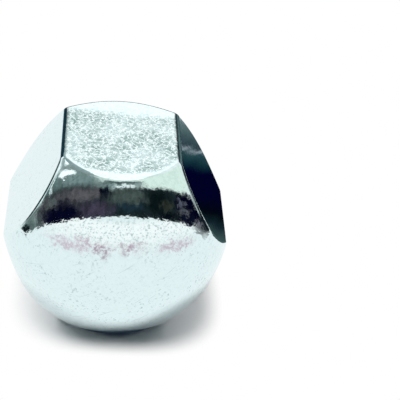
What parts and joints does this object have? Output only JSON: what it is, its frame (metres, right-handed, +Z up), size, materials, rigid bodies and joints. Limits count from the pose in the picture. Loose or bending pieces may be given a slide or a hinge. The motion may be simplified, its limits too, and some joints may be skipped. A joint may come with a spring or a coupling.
{
  "type": "cap nut",
  "caption": "Closed hexagon cap nut with a full-width ball dome, chamfered flat bearing face and stepped blind thread hole, in bright zinc plated steel.",
  "frame": {"origin": "centre of the bearing face, on the thread's axis", "axes": "+Y along the thread out of the mouth, so the dome points to -Y; +Z up, square to the flat on top, with the nut lying on the opposite flat as in the picture; +X to the right seen from the dome"},
  "size_m": [0.0216, 0.0185, 0.019],
  "materials": {
    "zinc_plated_steel": "bright zinc plate with a clear blue passivate over cold forged steel, smooth on the dome and finely grained on the flats"
  },
  "bodies": {
    "root": {"cap_nut": "zinc_plated_steel"}
  },
  "joints": []
}
